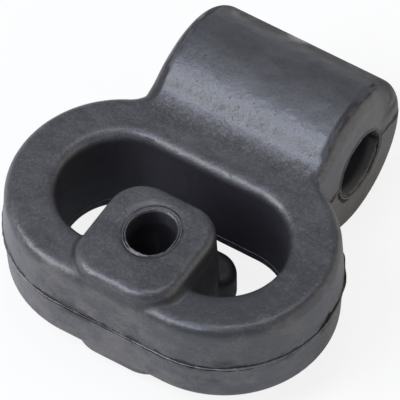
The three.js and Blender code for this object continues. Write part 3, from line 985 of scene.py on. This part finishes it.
def lip_tree():
    """Two uneven beads side by side round a mouth."""
    sizes = ("Inner", "Outer", "Bead", "Wander", "Grain", "Seed", "Sunk", "Chip size")
    kinds = {**dict.fromkeys(sizes, "Float"), "Worn": "Vector", "Chip": "Vector", "Material": "Material"}
    tree, given, result = geometry_tree("bore lip", kinds)
    both = add(tree, "GeometryNodeJoinGeometry")
    for number, radius in enumerate((given["Inner"], given["Outer"])):
        circle = {"Radius": radius, "Resolution": LIP_STEPS}
        path = result_of(tree, "GeometryNodeCurvePrimitiveCircle", circle)
        place = result_of(tree, "GeometryNodeInputPosition")
        seed = maths(tree, "ADD", given["Seed"], LIP_SEED_STEP * number)
        wobble = noise(tree, place, given["Grain"], offset=seed, output="Color")
        off = vectors(tree, "SUBTRACT", wobble, (0.5, 0.5, 0.5))
        path = moved(tree, path, vectors(tree, "MULTIPLY", off, given["Wander"]))
        outwards = vectors(tree, "NORMALIZE", place)
        worn = stretch(tree, vectors(tree, "DOT_PRODUCT", outwards, given["Worn"]), *WORN_BAND)
        down = product(tree, worn, given["Sunk"], -1.0)
        path = moved(tree, path, result_of(tree, "ShaderNodeCombineXYZ", {"Z": down}))
        chipped = stretch(tree, vectors(tree, "DOT_PRODUCT", outwards, given["Chip"]), *CHIP_BAND)
        uneven = stretch(tree, noise(tree, place, given["Grain"], offset=seed), *LIP_UNEVEN)
        share = maths(tree, "ADD", uneven, maths(tree, "MULTIPLY", chipped, given["Chip size"]))
        circle = {"Radius": given["Bead"], "Resolution": BEAD_STEPS}
        section = result_of(tree, "GeometryNodeCurvePrimitiveCircle", circle)
        swept = {"Curve": path, "Profile Curve": section, "Scale": share}
        feed(tree, both.inputs[0], result_of(tree, "GeometryNodeCurveToMesh", swept))
    end_tree(tree, both.outputs[0], given["Material"], result)
    return tree


lips = lip_tree()
mouths = {
    "boss_lip_top": (BOSS_LIP, (0, LIP_Y, LIP_HEIGHT), (0, 0, 0)),
    "boss_lip_underside": (BOSS_LIP, (0, LIP_Y, -LIP_HEIGHT), (math.pi, 0, 0)),
    "barrel_lip_right": (BARREL_LIP, (BARREL_HALF_LENGTH, BARREL_Y, 0), (0, math.pi / 2, 0)),
    "barrel_lip_left": (BARREL_LIP, (-BARREL_HALF_LENGTH, BARREL_Y, 0), (0, -math.pi / 2, 0)),
}
for seed, (name, ((inner, outer, bead), middle, turn)) in enumerate(mouths.items()):
    on_boss = name.startswith("boss")
    lip_sizes = {
        "Inner": inner, "Outer": outer, "Bead": bead,
        "Wander": LIP_WANDER, "Grain": LIP_GRAIN, "Sunk": LIP_SUNK,
    }
    lip_values = {**in_metres(lip_sizes), "Seed": LIP_SEED + seed, "Material": lip_rubber}
    lip_values["Chip size"] = CHIP_SIZE
    lip_values["Worn"] = BOSS_LIP_WORN if on_boss else (0, 0, 0)
    lip_values["Chip"] = BOSS_LIP_CHIP if on_boss else (0, 0, 0)
    lip = made_by_nodes(name, bpy.data.meshes.new(name + "_start"), lips, lip_values)
    if on_boss:
        lip.data.transform(Matrix.Diagonal((*BOSS_BORE_SHAPE, 1, 1)))
    lip.data.transform(Euler(turn, "XYZ").to_matrix().to_4x4())
    lip.data.transform(Matrix.Translation(Vector(middle + TO_FRAME) * MM))
    lip.data.polygons.foreach_set("use_smooth", [True] * len(lip.data.polygons))
    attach(lip, "root")

# Torn lip.
# Sliver of rubber left standing on the front of the boss's upper bead, torn when the mould opened.
# It is an arc with thin ends and an uneven oval section.
TORN_TURN = (250, 300)
TORN_RADIUS = BOSS_BORE + 0.35
TORN_WIDTH = 0.30
TORN_HEIGHT = 0.34
TORN_STEPS = 26
TORN_SIDES = 8
TORN_CUT_ENDS = 0.04
TORN_TAPER = 0.6
TORN_UNEVEN = (0.75, 1.15)
TORN_SEED = 5


def torn_points():
    """Rings of points round the sliver, one ring after another along its arc."""
    rough = np.random.default_rng(TORN_SEED)
    start, end = TORN_TURN
    points = []
    for share in np.linspace(0, 1, TORN_STEPS + 1):
        turn = math.radians(start + (end - start) * share)
        along = math.pi * (TORN_CUT_ENDS + (1 - 2 * TORN_CUT_ENDS) * share)
        size = math.sin(along) ** TORN_TAPER * rough.uniform(*TORN_UNEVEN)
        for corner in range(TORN_SIDES):
            a = 2 * math.pi * corner / TORN_SIDES
            reach = TORN_RADIUS + TORN_WIDTH * size * math.cos(a)
            points.append((
                BOSS_BORE_SHAPE[0] * reach * math.cos(turn),
                LIP_Y + BOSS_BORE_SHAPE[1] * reach * math.sin(turn),
                LIP_HEIGHT + TORN_HEIGHT * size * math.sin(a),
            ))
    return np.array(points)


def torn_faces():
    """Quads between neighbouring rings, and a flat face on each end."""
    last = TORN_SIDES * TORN_STEPS
    faces = [tuple(range(TORN_SIDES - 1, -1, -1)), tuple(range(last, last + TORN_SIDES))]
    for ring in range(0, last, TORN_SIDES):
        for corner in range(TORN_SIDES):
            a = ring + corner
            b = ring + (corner + 1) % TORN_SIDES
            faces.append((a, b, b + TORN_SIDES, a + TORN_SIDES))
    return faces


torn = mesh_piece("torn_lip", torn_points(), torn_faces())
# The sliver has the flash's light grey, partly a painted highlight.
torn.data.materials.append(flash_rubber_with_highlight)
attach(torn, "root")

# Floor and light.
# A white paper floor that keeps the part's shadow, under a small key light and a wide one on the left,
# a broad weak warm one low at the right, two small ones high up behind and a weak even light all round.
FLOOR_REACH = 3.0
PAPER = (0.8, 0.8, 0.8, 1)
PAPER_ROUGHNESS = 0.9
PAPER_SHOWN_WHITE = 0.85
SHADOW_REACH = 0.2
floor_data = bpy.data.meshes.new("floor")
corners = [(-1, -1), (1, -1), (1, 1), (-1, 1)]
floor_data.from_pydata([(FLOOR_REACH * x, FLOOR_REACH * y, 0) for x, y in corners], [], [(0, 1, 2, 3)])
floor = bpy.data.objects.new("floor", floor_data)
bpy.context.scene.collection.objects.link(floor)
paper = bpy.data.materials.new("white paper")
paper.use_nodes = True
tree = paper.node_tree
diffuse = tree.nodes["Principled BSDF"]
diffuse.inputs["Base Color"].default_value = PAPER
diffuse.inputs["Roughness"].default_value = PAPER_ROUGHNESS
white = add(tree, "ShaderNodeEmission", {"Color": (1, 1, 1, 1), "Strength": 1.0})
seen = add(tree, "ShaderNodeLightPath").outputs
from_part = vectors(tree, "LENGTH", add(tree, "ShaderNodeTexCoord").outputs["Object"])
beyond = stretch(tree, from_part, SHADOW_REACH / 2, SHADOW_REACH)
reflected = maths(tree, "MAXIMUM", seen["Is Glossy Ray"], seen["Is Transmission Ray"])
reflected = maths(tree, "MULTIPLY", reflected, beyond)
looked_at = maths(tree, "MAXIMUM", seen["Is Camera Ray"], reflected)
shown_share = maths(tree, "MULTIPLY", looked_at, PAPER_SHOWN_WHITE)
shown = add(tree, "ShaderNodeMixShader", {0: shown_share, 1: diffuse.outputs[0], 2: white.outputs[0]})
feed(tree, tree.nodes["Material Output"].inputs["Surface"], shown.outputs[0])
floor.data.materials.append(paper)

LAMP_DISTANCE = 1.0
LAMPS = {
    "key_light": {"towards": 246, "height": 62, "across": 0.28, "level": 15.5, "tint": (0.90, 0.99, 1.26)},
    "left_light": {"towards": 225, "height": 35, "across": 0.60, "level": 7.7, "tint": (0.98, 1.00, 1.05)},
    "right_light": {"towards": 20, "height": 6, "across": 1.40, "level": 0.8, "tint": (1.10, 1.00, 0.88)},
    "edge_light": {"towards": 75, "height": 70, "across": 0.15, "level": 9.0, "tint": (1.00, 1.00, 1.00)},
    "top_light": {"towards": 125, "height": 84, "across": 0.20, "level": 12.0, "tint": (0.97, 1.00, 1.05)},
}
for name, lamp in LAMPS.items():
    across = lamp["across"]
    data = bpy.data.lights.new(name, "AREA")
    data.shape = "DISK"
    data.size = across
    data.color = lamp["tint"]
    data.energy = lamp["level"] * math.pi * math.pi * across ** 2 / 4
    heading = math.radians(lamp["towards"])
    rise = math.radians(lamp["height"])
    way = Vector((math.cos(heading) * math.cos(rise), math.sin(heading) * math.cos(rise), math.sin(rise)))
    light = bpy.data.objects.new(name, data)
    light.location = way * LAMP_DISTANCE + Vector((0, 0, BARREL_RADIUS * MM))
    light.rotation_euler = way.to_track_quat("Z", "Y").to_euler()
    bpy.context.scene.collection.objects.link(light)

WORLD_LEVEL = 0.31
world = bpy.data.worlds.new("world")
world.use_nodes = True
tree = world.node_tree
seen = add(tree, "ShaderNodeLightPath").outputs
sky = tree.nodes["Background"]
sky.inputs["Color"].default_value = (1, 1, 1, 1)
strength = maths(tree, "MULTIPLY_ADD", seen["Is Camera Ray"], 1 - WORLD_LEVEL, WORLD_LEVEL)
feed(tree, sky.inputs["Strength"], strength)
bpy.context.scene.world = world
bpy.context.scene.view_settings.view_transform = "Standard"
